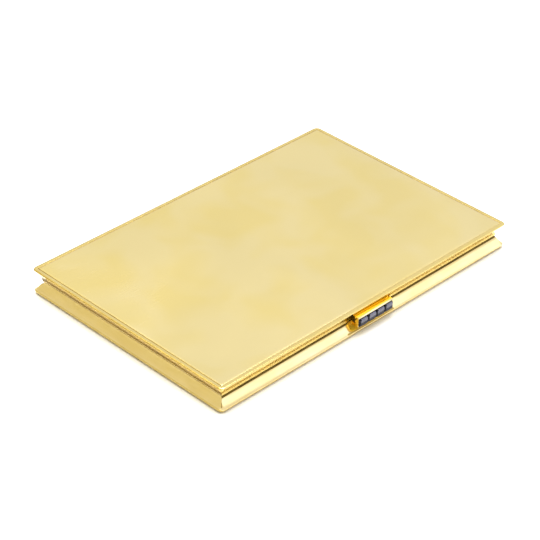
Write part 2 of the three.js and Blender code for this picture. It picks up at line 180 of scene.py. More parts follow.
def gold_mat(name, light, deep, rough=0.17, rough_var=0.04, blotch=32.0, coat=0.9, brush=None, bump=1.0, slope=0.0, streak=0.0, metal=1.0):
    """Polished yellow metal under a thin clear lacquer: soft patches of tone, fine handling scratches, tiny waves."""
    m, nt, b = new_mat(name)
    n = Net(nt)
    soft = slope > 0
    patch = n.noise(blotch, 1.5 if soft else 3.0, 0.40 if soft else 0.55, distortion=0.4)
    patch = n.span(patch, 0.40, 0.68, 0.0, 1.0)
    if slope:
        sep = nt.nodes.new("ShaderNodeSeparateXYZ")
        n.link(n.coord, sep.inputs[0])
        along = n.math("SUBTRACT", sep.outputs[1], n.math("MULTIPLY", sep.outputs[0], 0.35))
        patch = n.math("ADD", n.math("MULTIPLY", patch, 1.0 - slope), n.math("MULTIPLY", n.span(along, -0.04, 0.05, 0.0, 1.0), slope))
    fine = n.noise(420.0, 4.0, 0.6)
    fine = n.span(fine, 0.35, 0.65, 0.0, 0.30)
    col = n.mix(patch, light, deep)
    if not slope:
        col = n.mix(fine, col, tuple(0.93 * x for x in light))
    if streak:
        run = n.noise(900.0, 3.0, 0.6, n.mapping(scale=(0.10, 0.10, 1.0)))
        run = n.span(run, 0.38, 0.64, 0.0, streak)
        col = n.mix(run, col, (0.86 * light[0], 0.80 * light[1], 0.55 * light[2]))
    n.link(col, b.inputs["Base Color"])
    b.inputs["Metallic"].default_value = metal
    b.inputs["Coat Weight"].default_value = coat
    b.inputs["Coat Roughness"].default_value = 0.12
    s1 = n.scratches(0.35, 260.0, 16.0, 0.56, 0.72)
    s2 = n.scratches(-0.9, 310.0, 22.0, 0.58, 0.74)
    s3 = n.scratches(1.25, 200.0, 18.0, 0.60, 0.74)
    s = n.math("MAXIMUM", n.math("MAXIMUM", s1, s2), s3)
    smear = n.noise(16.0 if soft else 70.0, 2.0 if soft else 4.0, 0.5, distortion=0.8)
    r = n.span(smear, 0.3, 0.75, rough - rough_var, rough + rough_var)
    r = n.math("ADD", r, n.math("MULTIPLY", s, 0.02 if soft else 0.05))
    n.link(r, b.inputs["Roughness"])
    wave = n.noise(26.0, 2.0, 0.5)
    nb = n.bump(wave, 0.10 * bump, 0.0020)
    nb = n.bump(s, (0.015 if soft else 0.05) * bump, 0.000010, nb)
    nb = n.bump(n.noise(900.0, 3.0, 0.6), (0.01 if soft else 0.05) * bump, 0.000010, nb)
    if brush is not None:
        v = n.mapping(scale=brush)
        nb = n.bump(n.noise(1400.0, 2.0, 0.6, v), 0.25, 0.000006, nb)
    n.link(nb, b.inputs["Normal"])
    return m


mat_top = gold_mat("gold_face", (0.836, 0.690, 0.318), (0.822, 0.652, 0.215), 0.24, 0.04, blotch=62.0, bump=0.6, slope=0.30)
mat_gold = gold_mat("gold_polished", (0.945, 0.765, 0.390), (0.915, 0.715, 0.300), 0.17, 0.04, blotch=60.0, streak=0.40)
mat_rim = gold_mat("gold_rim", (0.840, 0.660, 0.235), (0.810, 0.615, 0.185), 0.18, 0.04, blotch=80.0, coat=0.7)
# Darker, deeper gold: painted shade and painted dark reflection, on the lower base walls, the lid's edges and side
# coves, and the front lower lip.
mat_shaded_gold = gold_mat("gold_painted_shade_tone", (0.700, 0.525, 0.160), (0.620, 0.445, 0.110), 0.26, 0.05, blotch=110.0, coat=0.4)
# Dark line gold: dark joint lines at the mitres, and painted shade lines along the foot, the rebates, the hinge sweep,
# the seam, the notch floor's edge, the plate edges and the outer top edges.
mat_joint_and_shade_line = gold_mat("gold_joint_and_painted_shade_line", (0.520, 0.365, 0.090), (0.410, 0.270, 0.050), 0.34, 0.06, blotch=140.0, coat=0.2)
# Near-black gold: painted shade, for the seam gap, the back of the notch, the hinge ends and the knuckle ends.
mat_seam_shade = gold_mat("gold_painted_seam_shade", (0.180, 0.120, 0.028), (0.090, 0.055, 0.012), 0.60, 0.08, blotch=160.0, coat=0.0)
# Painted shade and dark reflection in creases: the lid's side coves above the lip and the seam on the sides.
mat_crease_shade = gold_mat("gold_shaded_crease", (0.250, 0.165, 0.030), (0.200, 0.125, 0.022), 0.34, 0.06, blotch=140.0, coat=0.0)
# Deep yellow gold: painted reflection of the gold base in the lid's front cove.
mat_cove_reflection = gold_mat("gold_cove_painted_reflection", (0.940, 0.765, 0.200), (0.900, 0.710, 0.140), 0.20, 0.04, blotch=90.0, coat=0.20, streak=0.2)
mat_satin = gold_mat("gold_satin", (0.86, 0.67, 0.30), (0.83, 0.63, 0.24), 0.33, 0.05, blotch=45.0, coat=0.3, brush=(1.0, 12.0, 1.0))
# Orange gold: painted reflection of gold in gold, inside the notch and on the bar top.
mat_deep_reflection = gold_mat("gold_deep_painted_reflection", (0.970, 0.690, 0.130), (0.950, 0.650, 0.100), 0.14, 0.03, blotch=90.0, coat=0.0, bump=0.3)
# Bright, mostly non-metallic gold: painted glow on the notch floor, roof and ledge.
mat_pocket_glow = gold_mat("gold_pocket_painted_glow", (1.000, 0.740, 0.080), (0.980, 0.700, 0.060), 0.42, 0.05, blotch=90.0, coat=0.0, metal=0.15)
# Pale gold: painted highlight, the lit front strip and chamfer of the bar.
mat_lit_strip = gold_mat("gold_painted_lit_strip", (0.930, 0.790, 0.440), (0.910, 0.750, 0.360), 0.14, 0.03, blotch=90.0)


def steel_mat():
    m, nt, b = new_mat("spring_steel")
    n = Net(nt)
    f = n.noise(240.0, 3.0, 0.6)
    n.link(n.ramp(f, [(0.3, (0.42, 0.42, 0.41)), (0.7, (0.60, 0.60, 0.59))]), b.inputs["Base Color"])
    b.inputs["Metallic"].default_value = 1.0
    v = n.mapping(scale=(1.0, 14.0, 14.0))
    n.link(n.span(n.noise(500.0, 3.0, 0.6, v), 0.3, 0.7, 0.24, 0.40), b.inputs["Roughness"])
    n.link(n.bump(n.noise(1500.0, 3.0, 0.6, v), 0.2, 0.000008), b.inputs["Normal"])
    return m


def stone_mat(name, stops, spec):
    m, nt, b = new_mat(name)
    n = Net(nt)
    f = n.noise(420.0, 3.0, 0.55, distortion=0.6)
    n.link(n.ramp(f, stops), b.inputs["Base Color"])
    b.inputs["IOR"].default_value = 1.77
    b.inputs["Specular IOR Level"].default_value = spec
    n.link(n.span(n.noise(700.0, 3.0, 0.6), 0.3, 0.7, 0.05, 0.12), b.inputs["Roughness"])
    n.link(n.bump(n.noise(500.0, 2.0, 0.5), 0.06, 0.00002), b.inputs["Normal"])
    return m


mat_steel = steel_mat()
mat_stone = stone_mat("sapphire_deep", [(0.30, (0.003, 0.003, 0.008)), (0.55, (0.006, 0.006, 0.018)), (0.78, (0.016, 0.014, 0.040))], 0.14)
# Lighter lavender tone: painted sheen, the bright sky reflected in the upper facets.
mat_table_sheen = stone_mat("sapphire_painted_sheen", [(0.28, (0.045, 0.045, 0.080)), (0.55, (0.075, 0.074, 0.130)), (0.80, (0.120, 0.118, 0.190))], 0.45)


# ------------------------------------------------------------------ mesh helpers
def obj_from_bm(name, bm, mats, sharp=32.0):
    bm.normal_update()
    me = bpy.data.meshes.new(name)
    bm.to_mesh(me)
    bm.free()
    for m in mats:
        me.materials.append(m)
    me.polygons.foreach_set("use_smooth", [True] * len(me.polygons))
    me.set_sharp_from_angle(angle=math.radians(sharp))
    o = bpy.data.objects.new(name, me)
    scene.collection.objects.link(o)
    return o


def arc(a, b, sag, n):
    """Points from a to b that bow by sag to the left of a -> b."""
    dx, dz = b[0] - a[0], b[1] - a[1]
    c = math.hypot(dx, dz)
    s = abs(sag)
    sign = 1 if sag > 0 else -1
    r = (c * c / 4 + s * s) / (2 * s)
    half = math.asin(c / 2 / r)
    nx, nz = -dz / c * sign, dx / c * sign
    mx, mz = (a[0] + b[0]) / 2 + nx * (s - r), (a[1] + b[1]) / 2 + nz * (s - r)
    pts = []
    for i in range(n + 1):
        t = -half + 2 * half * i / n
        pts.append((mx + nx * r * math.cos(t) + dx / c * r * math.sin(t),
                    mz + nz * r * math.cos(t) + dz / c * r * math.sin(t)))
    pts[0], pts[-1] = a, b
    return pts


def fillet(points, radii, seg=4):
    """Rounds the corners of a closed outline. radii maps a point's index to its radius."""
    out = []
    n = len(points)
    for i, p in enumerate(points):
        r = radii.get(i, 0)
        if not r:
            out.append(p)
            continue
        a, b = Vector(points[i - 1]) - Vector(p), Vector(points[(i + 1) % n]) - Vector(p)
        la, lb = a.length, b.length
        a.normalize(); b.normalize()
        ang = a.angle(b)
        d = min(r / math.tan(ang / 2), 0.45 * la, 0.45 * lb)
        rr = d * math.tan(ang / 2)
        p0, p1 = Vector(p) + a * d, Vector(p) + b * d
        c = Vector(p) + (a + b).normalized() * (rr / math.sin(ang / 2))
        v0, v1 = p0 - c, p1 - c
        t0 = math.atan2(v0.y, v0.x)
        t1 = math.atan2(v1.y, v1.x)
        dt = (t1 - t0 + math.pi) % (2 * math.pi) - math.pi
        for k in range(seg + 1):
            t = t0 + dt * k / seg
            out.append((c.x + rr * math.cos(t), c.y + rr * math.sin(t)))
    return out


def wall(section, side, n_arc=5, n_long=36):
    """A coved strip with mitred ends along one side; section is [(v, z)] in mm, closed."""
    half_long, half_across = (L / 2, W / 2) if side in ("front", "back") else (W / 2, L / 2)
    turn = {"front": 0, "right": 1, "back": 2, "left": 3}[side]
    rot = Matrix.Rotation(turn * math.pi / 2, 4, "Z")
    bm = bmesh.new()
    rows = []
    for v, z in section:
        r = max(R_PLAN - v, 0.03)
        cx, cy = half_long - v - r, -(half_across - v - r)
        pts = []
        for k in range(n_arc + 1):
            t = math.radians(225 + 45 * k / n_arc)
            pts.append((-cx + r * math.cos(t) + MITRE, cy + r * math.sin(t)))
        for k in range(1, n_long):
            f = k / n_long
            pts.append((-cx + 2 * cx * f, -(half_across - v)))
        for k in range(n_arc + 1):
            t = math.radians(270 + 45 * k / n_arc)
            pts.append((cx + r * math.cos(t) - MITRE, cy + r * math.sin(t)))
        rows.append([bm.verts.new(rot @ Vector((x * MM, y * MM, z * MM))) for x, y in pts])
    n, m = len(rows), len(rows[0])
    for i in range(n):
        a, b = rows[i], rows[(i + 1) % n]
        for k in range(m - 1):
            bm.faces.new((a[k], a[k + 1], b[k + 1], b[k]))
    bm.faces.new([r[0] for r in rows])
    bm.faces.new([r[-1] for r in reversed(rows)])
    bmesh.ops.remove_doubles(bm, verts=bm.verts, dist=1e-7)
    bmesh.ops.recalc_face_normals(bm, faces=bm.faces)
    return bm


def temp_obj(bm, name="tool"):
    me = bpy.data.meshes.new(name)
    bmesh.ops.recalc_face_normals(bm, faces=bm.faces)
    bm.to_mesh(me)
    bm.free()
    o = bpy.data.objects.new(name, me)
    scene.collection.objects.link(o)
    return o


def drop(*objs):
    for o in objs:
        me = o.data
        bpy.data.objects.remove(o)
        if me and me.users == 0:
            bpy.data.meshes.remove(me)


def boolean(bm, tools, op="DIFFERENCE"):
    """bm minus each tool, by Blender's exact solver. Returns a new bmesh."""
    body = temp_obj(bm, "body")
    for t in tools:
        mod = body.modifiers.new("cut", "BOOLEAN")
        mod.operation = op
        mod.solver = "EXACT"
        mod.object = t
    dg = bpy.context.evaluated_depsgraph_get()
    dg.update()
    me = bpy.data.meshes.new_from_object(body.evaluated_get(dg), depsgraph=dg)
    out = bmesh.new()
    out.from_mesh(me)
    bpy.data.meshes.remove(me)
    drop(body)
    bmesh.ops.remove_doubles(out, verts=out.verts, dist=2e-7)
    bmesh.ops.dissolve_degenerate(out, edges=out.edges, dist=1e-7)
    return out


def bevel_sharp(bm, width, angle=50.0, seg=2, where=None):
    bm.normal_update()
    es = []
    for e in bm.edges:
        if len(e.link_faces) != 2:
            continue
        if e.calc_face_angle(0) > math.radians(angle) and (where is None or where(e)):
            es.append(e)
    if es:
        bmesh.ops.bevel(bm, geom=es, offset=width * MM, offset_type="OFFSET", segments=seg,
                        profile=0.5, affect="EDGES", clamp_overlap=True)
    return bm


def box_bm(x0, x1, y0, y1, z0, z1):
    bm = bmesh.new()
    bmesh.ops.create_cube(bm, size=1.0)
    for v in bm.verts:
        v.co = Vector(((x0 if v.co.x < 0 else x1) * MM, (y0 if v.co.y < 0 else y1) * MM, (z0 if v.co.z < 0 else z1) * MM))
    return bm


def prism(outline, lo, hi, axis="z"):
    """Closed outline in mm pushed from lo to hi along an axis: z takes (x, y), y takes (x, z), x takes (y, z)."""
    bm = bmesh.new()
    put = {"z": lambda a, b, c: (a, b, c), "y": lambda a, b, c: (a, c, b), "x": lambda a, b, c: (c, a, b)}[axis]
    ra = [bm.verts.new(Vector(put(a, b, lo)) * MM) for a, b in outline]
    rb = [bm.verts.new(Vector(put(a, b, hi)) * MM) for a, b in outline]
    n = len(outline)
    for i in range(n):
        bm.faces.new((ra[i], ra[(i + 1) % n], rb[(i + 1) % n], rb[i]))
    bm.faces.new(list(reversed(ra)))
    bm.faces.new(rb)
    bmesh.ops.recalc_face_normals(bm, faces=bm.faces)
    return bm


def round_rect(x0, x1, y0, y1, low, top, seg=8):
    """Outline with corners of radius low at y0 and top at y1."""
    pts = []
    for cx, cy, a0, r in ((x1 - low, y0 + low, -90, low), (x1 - top, y1 - top, 0, top), (x0 + top, y1 - top, 90, top), (x0 + low, y0 + low, 180, low)):
        for k in range(seg + 1):
            t = math.radians(a0 + 90 * k / seg)
            pts.append((cx + r * math.cos(t), cy + r * math.sin(t)))
    return pts


def lathe_x(profile, seg, y, z):
    """Profile [(r, x)] in mm turned about the line through (y, z) along X. Ends on the axis or closes on itself."""
    bm = bmesh.new()
    rings = []
    for r, x in profile:
        if r < 1e-6:
            rings.append([bm.verts.new(Vector((x, y, z)) * MM)])
        else:
            rings.append([bm.verts.new(Vector((x, y + r * math.cos(2 * math.pi * k / seg), z + r * math.sin(2 * math.pi * k / seg))) * MM)
                          for k in range(seg)])
    pairs = list(zip(rings, rings[1:]))
    if len(rings[0]) > 1:
        pairs.append((rings[-1], rings[0]))
    for a, b in pairs:
        for k in range(seg):
            k2 = (k + 1) % seg
            if len(a) == 1 and len(b) == 1:
                continue
            if len(a) == 1:
                bm.faces.new((a[0], b[k2], b[k]))
            elif len(b) == 1:
                bm.faces.new((a[k], a[k2], b[0]))
            else:
                bm.faces.new((a[k], a[k2], b[k2], b[k]))
    bmesh.ops.recalc_face_normals(bm, faces=bm.faces)
    return bm


def lathe_z(profile, seg, x, y):
    bm = lathe_x([(r, h) for r, h in profile], seg, 0, 0)
    for v in bm.verts:
        h, a, b = v.co
        v.co = Vector((x * MM + a, y * MM + b, h))
    bmesh.ops.recalc_face_normals(bm, faces=bm.faces)
    return bm


def paint(o, rule):
    """Gives each face the material index that rule(centre in mm, normal) returns."""
    for p in o.data.polygons:
        p.material_index = rule(p.center / MM, p.normal)


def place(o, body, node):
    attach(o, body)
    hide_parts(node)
    return o


# ------------------------------------------------------------------ walls
foot = [(FOOT_R - FOOT_R * math.sin(t), FOOT_R - FOOT_R * math.cos(t)) for t in [math.pi / 2 * i / 14 for i in range(15)]]


def base_section(inner):
    pts = foot[:]
    pts += arc((0, FOOT_R + 0.08), (WAIST, BASE_TOP - 0.05), -BASE_SAG, 30)
    n = len(pts)
    pts += [(WAIST + 0.06, BASE_TOP), (inner, BASE_TOP), (inner, SHEET + FIT), (REBATE, SHEET + FIT), (REBATE, 0.12), (REBATE - 0.06, 0.03),
            (REBATE - 0.14, 0)]
    return fillet(pts, {n + 1: 0.06}, 3)


def lid_section(inner):
    pts = [(LIP_V, LID_BOTTOM), (LIP_V, LID_BOTTOM + 0.20), (LIP_V, LIP_TOP - 0.12)]
    pts += arc((LIP_V, LIP_TOP), (0.0, LID_EDGE), -LID_SAG, 26)
    n = len(pts)
    pts += [(0.025, LID_EDGE + 0.09), (0.09, H - 0.155), (0.18, H - 0.095), (0.30, H - 0.055), (0.46, H - 0.03),
            (REBATE - 0.14, H), (REBATE - 0.05, H - 0.035), (REBATE, H - 0.13), (REBATE, H - SHEET - FIT),
            (inner, H - SHEET - FIT), (inner, LID_BOTTOM)]
    return fillet(pts, {0: 0.05, n + 10: 0.06}, 3)


# Wall colours: the gold, the satin inside, the rim, and golds that stand for dark joints, painted shade, painted
# reflection and painted glow.
WALL_MATS = [mat_gold, mat_satin, mat_rim, mat_shaded_gold, mat_joint_and_shade_line, mat_seam_shade, mat_deep_reflection, mat_pocket_glow, mat_crease_shade, mat_cove_reflection]
GOLD, SATIN, RIM, SHADED_GOLD, JOINT_AND_SHADE_LINE, SEAM_SHADE, DEEP_REFLECTION, POCKET_GLOW, CREASE_SHADE, COVE_REFLECTION = range(10)


def cut_faces(o, plane, pick):
    """Split the chosen flat faces along a plane, so each part can have its own colour, where painted shade stops part
    way across a face.
    """
    bm = bmesh.new()
    bm.from_mesh(o.data)
    part = [f for f in bm.faces if pick(f.calc_center_median() / MM, f.normal)]
    part += list({e for f in part for e in f.edges}) + list({q for f in part for q in f.verts})
    bmesh.ops.bisect_plane(bm, geom=part, dist=1e-7, plane_co=tuple(x * MM for x in plane[0]), plane_no=plane[1])
    bm.to_mesh(o.data)
    bm.free()


def wall_rule(prefix, side, inner):
    """Which colour a face of a wall strip has, from its place in the section and along the strip: the gold, the satin
    inside, a dark joint line, and painted shade, painted reflection and painted glow.
    """
    ax, ay = {"front": (0, -1), "back": (0, 1), "left": (-1, 0), "right": (1, 0)}[side]
    half, half_long = (W / 2, L / 2) if side in ("front", "back") else (L / 2, W / 2)

    def rule(c, n):
        v = half - (c.x * ax + c.y * ay)
        along = abs(c.x) if side in ("front", "back") else abs(c.y)
        corner = half_long - along            # distance in from the end of the strip
        v = min(v, corner) if corner < R_PLAN else v
        out = n.x * ax + n.y * ay             # how much the face looks outward
        mitre = abs((half - (c.x * ax + c.y * ay)) - corner)
        if v > inner - 0.02:
            return SATIN
        if side == "front" and abs(c.x - CATCH_X) < NOTCH_HALF + 0.05 and NOTCH_FLOOR - 0.06 < c.z < NOTCH_ROOF + 0.06:
            # Back of the notch: painted shade behind the bar's left end above z 3.4, painted reflection elsewhere.
            if out > 0.9 and v > NOTCH_DEPTH - 0.1:               # back of the notch
                return SEAM_SHADE if c.x < CATCH_X - BAR_HALF + 1.5 and c.z > 3.4 else DEEP_REFLECTION
            # Ledge face: painted glow.
            if out > 0.9 and abs(v - LEDGE_V) < 0.1:
                return POCKET_GLOW
            # Floor and roof of the notch: painted glow; its end walls: painted reflection.
            if abs(out) < 0.2:
                return POCKET_GLOW if abs(n.z) > 0.5 else DEEP_REFLECTION
        # Under the front edge of the notch floor: painted shade line.
        if side == "front" and prefix == "base" and abs(c.x - CATCH_X) < NOTCH_HALF and NOTCH_FLOOR - 0.30 < c.z < NOTCH_FLOOR + 0.05:
            return JOINT_AND_SHADE_LINE
        # Around the hinge ends on the short sides: painted shade.
        if side != "front" and side != "back" and math.hypot(c.y - AXIS_Y, c.z - AXIS_Z) < SWEEP_R + 0.1 and v < 3.2:
            return SEAM_SHADE
        # Hinge sweep on the back: painted shade line.
        if side == "back" and math.hypot(c.y - AXIS_Y, c.z - AXIS_Z) < SWEEP_R + 0.04:
            return JOINT_AND_SHADE_LINE
        if prefix == "base":
            # Seam faces at the top of the base wall: painted shade, near black on the front; the topmost faces on the
            # sides get crease shade.
            if v > WAIST - 0.42 and c.z > BASE_TOP - 0.47:
                return SEAM_SHADE if side == "front" else GOLD
            if c.z > BASE_TOP - 0.06:
                return SEAM_SHADE if side == "front" else CREASE_SHADE
            # Mitres: dark joint line.
            if mitre < 0.13 and c.z > 0.9:
                return JOINT_AND_SHADE_LINE
            if c.z < 0.05:
                return RIM
            # Rebate and foot underneath: painted shade line, the dark reflection of the floor near the case.
            if v > REBATE - 0.16 and c.z < 0.6:
                return JOINT_AND_SHADE_LINE
            if c.z < 0.50 and side != "front":
                return JOINT_AND_SHADE_LINE
            # Lower base wall: painted shade.
            if c.z < (1.0 if side == "front" else 1.35):
                return SHADED_GOLD
            return GOLD
        # Lid's side coves above the lip: painted shade band.
        if side != "front" and LIP_TOP - 0.45 < c.z < LIP_TOP + 1.15 and v > 1.4:
            return CREASE_SHADE
        # Plate rebate step at the top: painted shade line on the sides, shaded gold on the front; outer top edge on the
        # sides: painted shade line.
        if c.z > H - 0.20 and v > REBATE - 0.12:
            return JOINT_AND_SHADE_LINE if side != "front" else SHADED_GOLD
        if side != "front" and c.z > H - 0.17 and v < 0.47:
            return JOINT_AND_SHADE_LINE
        if c.z > H - 0.05:
            return RIM
        # Outer edge of the lid: painted shade on the sides.
        if c.z > LID_EDGE - 0.12:
            return RIM if side == "front" else SHADED_GOLD
        # Seam under the lid: painted shade line on the front, crease shade on the sides.
        if c.z < LID_BOTTOM + 0.06:
            return JOINT_AND_SHADE_LINE if side == "front" else CREASE_SHADE
        # Cove above the lip: painted reflection on the front below z 7.3, shaded gold on the sides.
        if c.z > LIP_TOP:
            return (GOLD if c.z > 7.3 else COVE_REFLECTION) if side == "front" else SHADED_GOLD
        # Lower lip of the lid: painted shade on the front.
        return SHADED_GOLD if side == "front" else GOLD
    return rule


def half_len():
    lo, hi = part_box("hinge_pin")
    return (hi.x - lo.x) / 2 / MM + 0.1


BARREL_HALF, KNUCKLES, GAP = half_len(), 7, 0.12
STEP = 2 * BARREL_HALF / KNUCKLES


def groove_tools(for_base):
    tools = []
    for i in range(KNUCKLES):
        own = (i % 2 == 0) == for_base
        x0, x1 = -BARREL_HALF + i * STEP, -BARREL_HALF + (i + 1) * STEP
        grow = 0.02 if own else 0.14
        x0 -= grow
        x1 += grow
        if i == 0:
            x0 -= 3
        if i == KNUCKLES - 1:
            x1 += 3
        r = SEAT_R if own else SWEEP_R
        tools.append(temp_obj(lathe_x([(0, x0), (r, x0), (r, x1), (0, x1)], 64, AXIS_Y, AXIS_Z), "groove"))
    return tools


notch = temp_obj(prism(round_rect(CATCH_X - NOTCH_HALF, CATCH_X + NOTCH_HALF, NOTCH_FLOOR, NOTCH_ROOF, NOTCH_R_LOW, NOTCH_R_TOP),
                       -W / 2 - 2, -W / 2 + NOTCH_DEPTH, "y"), "notch")
ledge = temp_obj(box_bm(CATCH_X - BAR_HALF - 0.10, CATCH_X + BAR_HALF + 0.10, -W / 2 + LEDGE_V, -W / 2 + 5, LEDGE_Z, 9), "ledge")
lid_notch = temp_obj(boolean(prism(round_rect(CATCH_X - NOTCH_HALF, CATCH_X + NOTCH_HALF, NOTCH_FLOOR, NOTCH_ROOF, NOTCH_R_LOW, NOTCH_R_TOP),
                                   -W / 2 - 2, -W / 2 + NOTCH_DEPTH, "y"), [ledge]), "lid_notch")
drop(ledge)
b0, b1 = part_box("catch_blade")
blade_half = (b1.x - b0.x) / 2 / MM
slot_tool = temp_obj(box_bm(CATCH_X - blade_half - 0.15, CATCH_X + blade_half + 0.15, -W / 2 + 2, -W / 2 + 4.3, 3.30, 6.0), "slot")
g_base, g_lid = groove_tools(True), groove_tools(False)

for body, prefix, section_of, grooves in (("case_base", "base", base_section, g_base), ("lid", "lid", lid_section, g_lid)):
    for side in ("front", "back", "left", "right"):
        inner = INNER_BACK if side == "back" else INNER
        bm = wall(section_of(inner), side)
        if side == "front":
            bm = boolean(bm, [notch, slot_tool] if prefix == "base" else [lid_notch])
        else:
            bm = boolean(bm, grooves)
        bm = bevel_sharp(bm, 0.045, 50.0)
        o = obj_from_bm(f"{prefix}_{side}_strip", bm, WALL_MATS)
        if side == "front":
            pocket = lambda c, n: n.y < -0.9 and abs(c.y + W / 2 - NOTCH_DEPTH) < 0.1
            # Split the back of the notch so the painted shade covers only the part behind the bar's left end, above z
            # 3.4.
            cut_faces(o, ((CATCH_X - BAR_HALF + 1.5, 0, 0), (1, 0, 0)), pocket)
            cut_faces(o, ((0, 0, 3.4), (0, 0, 1)), pocket)
        paint(o, wall_rule(prefix, side, inner))
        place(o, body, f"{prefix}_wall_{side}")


# ------------------------------------------------------------------ plates
def plate(name, z0, z1, outer_up, crown):
    """A plate with soft edges. Its outer face is a fine grid, with the very slight waves of sheet that has been handled."""
    a, b = L / 2 - REBATE - FIT, W / 2 - REBATE - FIT
    bm = bmesh.new()
    nx, ny = 124, 82
    xs = [-a + 2 * a * i / nx for i in range(nx + 1)]
    ys = [-b + 2 * b * i / ny for i in range(ny + 1)]
    edge = 0.14
    xs = [-a, -a + edge * 0.12, -a + edge * 0.45, -a + edge] + xs[1:-1] + [a - edge, a - edge * 0.45, a - edge * 0.12, a]
    ys = [-b, -b + edge * 0.12, -b + edge * 0.45, -b + edge] + ys[1:-1] + [b - edge, b - edge * 0.45, b - edge * 0.12, b]
    face = []
    zf, zb = (z1, z0) if outer_up else (z0, z1)
    s = 1 if outer_up else -1
    for i, x in enumerate(xs):
        row = []
        for j, y in enumerate(ys):
            d = min(a - abs(x), b - abs(y))
            fall = 0.0
            if d < edge:
                fall = edge - math.sqrt(max(edge * edge - (edge - d) ** 2, 0))
            w = mnoise.noise(Vector((x * 0.035, y * 0.035, 3.7 if outer_up else 9.1))) * crown
            w *= min(1.0, d / 8.0)
            row.append(bm.verts.new(Vector((x, y, zf - s * (fall + max(0.0, crown + w) * min(1.0, d / 6.0)))) * MM))
        face.append(row)
    for i in range(len(xs) - 1):
        for j in range(len(ys) - 1):
            q = (face[i][j], face[i + 1][j], face[i + 1][j + 1], face[i][j + 1])
            bm.faces.new(q if outer_up else q[::-1])
    rim = [face[i][0] for i in range(len(xs))] + [face[-1][j] for j in range(1, len(ys))] \
        + [face[i][-1] for i in range(len(xs) - 2, -1, -1)] + [face[0][j] for j in range(len(ys) - 2, 0, -1)]
    low = [bm.verts.new(Vector((v.co.x, v.co.y, zb * MM))) for v in rim]
    n = len(rim)
    for i in range(n):
        bm.faces.new((rim[i], rim[(i + 1) % n], low[(i + 1) % n], low[i]))
    bm.faces.new(low)
    bmesh.ops.recalc_face_normals(bm, faces=bm.faces)
    return bm


o = obj_from_bm("lid_face", plate("lid_face", H - SHEET, H, True, 0.012), [mat_top, mat_satin, mat_joint_and_shade_line])
# Edge faces of the plate that don't face the front: painted shade line, a dark reflection on the step.
paint(o, lambda c, n: 1 if n.z < -0.5 else 2 if n.z < 0.97 and n.y > -0.1 else 0)
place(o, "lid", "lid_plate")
o = obj_from_bm("base_face", plate("base_face", 0, SHEET, False, 0.008), [mat_top, mat_satin, mat_joint_and_shade_line])
# Edge faces of the plate: dark line gold, painted shade.
paint(o, lambda c, n: 1 if n.z > 0.5 else 2 if n.z > -0.97 else 0)
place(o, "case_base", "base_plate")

# ------------------------------------------------------------------ hinge
for i in range(KNUCKLES):
    x0, x1 = -BARREL_HALF + i * STEP + GAP / 2, -BARREL_HALF + (i + 1) * STEP - GAP / 2
    c, r, q = 0.09, KNUCKLE_R, 0.55
    prof = [(q, x0), (r - c, x0), (r - c * 0.3, x0 + c * 0.3), (r, x0 + c), (r, x1 - c), (r - c * 0.3, x1 - c * 0.3), (r - c, x1), (q, x1)]
    is_base = i % 2 == 0
    node = f"base_knuckle_{i // 2 + 1}" if is_base else f"lid_knuckle_{i // 2 + 1}"
    o = obj_from_bm(node + "_barrel", lathe_x(prof, 64, AXIS_Y, AXIS_Z), [mat_gold, mat_seam_shade])
    # Knuckle ends: painted shade in the gaps between knuckles.
    paint(o, lambda c, n: 1 if abs(n.x) > 0.9 else 0)
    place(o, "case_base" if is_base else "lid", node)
e = BARREL_HALF - 0.1
o = obj_from_bm("pin", lathe_x([(0, -e), (0.34, -e), (0.44, -e + 0.03), (0.5, -e + 0.12), (0.5, e - 0.12), (0.44, e - 0.03), (0.34, e), (0, e)], 40, AXIS_Y, AXIS_Z), [mat_steel])
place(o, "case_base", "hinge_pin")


# ------------------------------------------------------------------ small pieces from the CAD solids, with softened edges
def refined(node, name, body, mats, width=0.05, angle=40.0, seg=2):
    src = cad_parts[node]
    bm = bmesh.new()
    bm.from_mesh(src.data)
    bmesh.ops.remove_doubles(bm, verts=bm.verts, dist=1e-6)
    bmesh.ops.dissolve_limit(bm, angle_limit=math.radians(1.0), verts=bm.verts, edges=bm.edges)
    bevel_sharp(bm, width, angle, seg)
    o = obj_from_bm(name, bm, mats)
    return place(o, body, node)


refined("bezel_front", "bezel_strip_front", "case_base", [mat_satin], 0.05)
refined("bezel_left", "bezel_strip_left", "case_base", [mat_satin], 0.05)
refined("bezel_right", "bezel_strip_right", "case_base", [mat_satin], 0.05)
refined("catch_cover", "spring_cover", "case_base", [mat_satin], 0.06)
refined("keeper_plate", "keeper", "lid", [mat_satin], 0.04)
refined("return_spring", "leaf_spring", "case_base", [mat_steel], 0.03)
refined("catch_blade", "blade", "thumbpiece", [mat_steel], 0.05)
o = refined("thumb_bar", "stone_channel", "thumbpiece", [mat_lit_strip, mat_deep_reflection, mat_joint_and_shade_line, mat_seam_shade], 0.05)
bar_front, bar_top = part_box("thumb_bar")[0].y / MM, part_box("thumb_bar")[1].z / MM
# Split the bar's ends so painted shade covers only their rear upper part.
cut_faces(o, ((0, bar_front + 1.5, 0), (0, 1, 0)), lambda c, n: abs(n.x) > 0.7)
cut_faces(o, ((0, 0, bar_top - 2.4), (0, 0, 1)), lambda c, n: abs(n.x) > 0.7)
# Bar colours: pale painted highlight on the front and the front strip of the top, orange painted reflection on the top
# behind it and on the ends, painted shade on the rear upper ends and a shade line on the back.
paint(o, lambda c, n: 3 if abs(n.x) > 0.7 and c.y > bar_front + 1.5 and c.z > bar_top - 2.4 else 1 if c.y > bar_front + 0.42 and n.z > 0.5 or abs(n.x) > 0.7 else 2 if n.y > 0.5 else 0)

